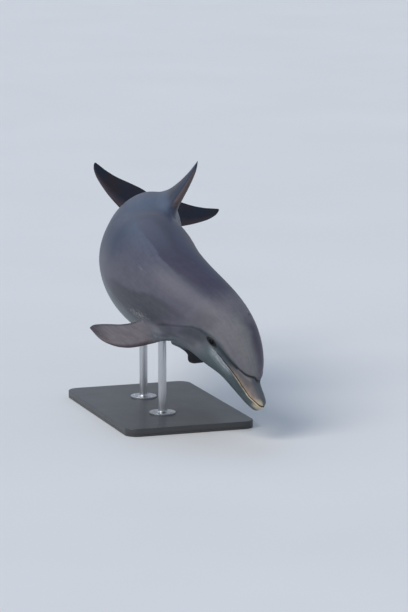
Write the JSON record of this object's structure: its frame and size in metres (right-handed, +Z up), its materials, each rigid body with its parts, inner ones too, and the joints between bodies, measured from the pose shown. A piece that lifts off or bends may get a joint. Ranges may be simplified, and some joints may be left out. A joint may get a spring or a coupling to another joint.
{
  "type": "bottlenose dolphin display model",
  "caption": "Still, life-size bottlenose dolphin in mid-leap, nose down and flukes raised, held by slim rods over a flat display base.",
  "frame": {"origin": "on the floor, under the middle of the model's box", "axes": "+Z up, +X the way the animal travels, +Y to its left; the underside of the stand's base is at Z = 0"},
  "size_m": [2.264, 1.1836, 1.1398],
  "materials": {
    "skin_body": "wet grey skin, darker cape over a paler flank",
    "skin_head": "wet grey skin with a dark eye stripe",
    "skin_beak": "wet skin, brown-grey with a paler tan tip and lip line",
    "skin_fins": "wet dark grey skin, darker along the edges",
    "skin_flukes": "wet slate, nearly black",
    "eye": "polished, nearly black",
    "stand_base": "satin charcoal paint",
    "stand_steel": "brushed"
  },
  "bodies": {
    "root": {"head": "skin_head", "neck": "skin_body", "chest": "skin_body", "trunk_middle": "skin_body", "trunk_rear": "skin_body", "tail_stock_front": "skin_body", "tail_stock_rear": "skin_body", "beak_upper": "skin_beak", "beak_lower": "skin_beak", "blowhole": "skin_head", "dorsal_fin": "skin_fins", "flipper_left": "skin_fins", "flipper_right": "skin_fins", "fluke_left": "skin_flukes", "fluke_right": "skin_flukes", "eye_left": "eye", "eye_right": "eye", "stand_base": "stand_base", "stand_rod_front": "stand_steel", "stand_rod_rear": "stand_steel", "stand_flange_front": "stand_steel", "stand_flange_rear": "stand_steel"}
  },
  "joints": []
}
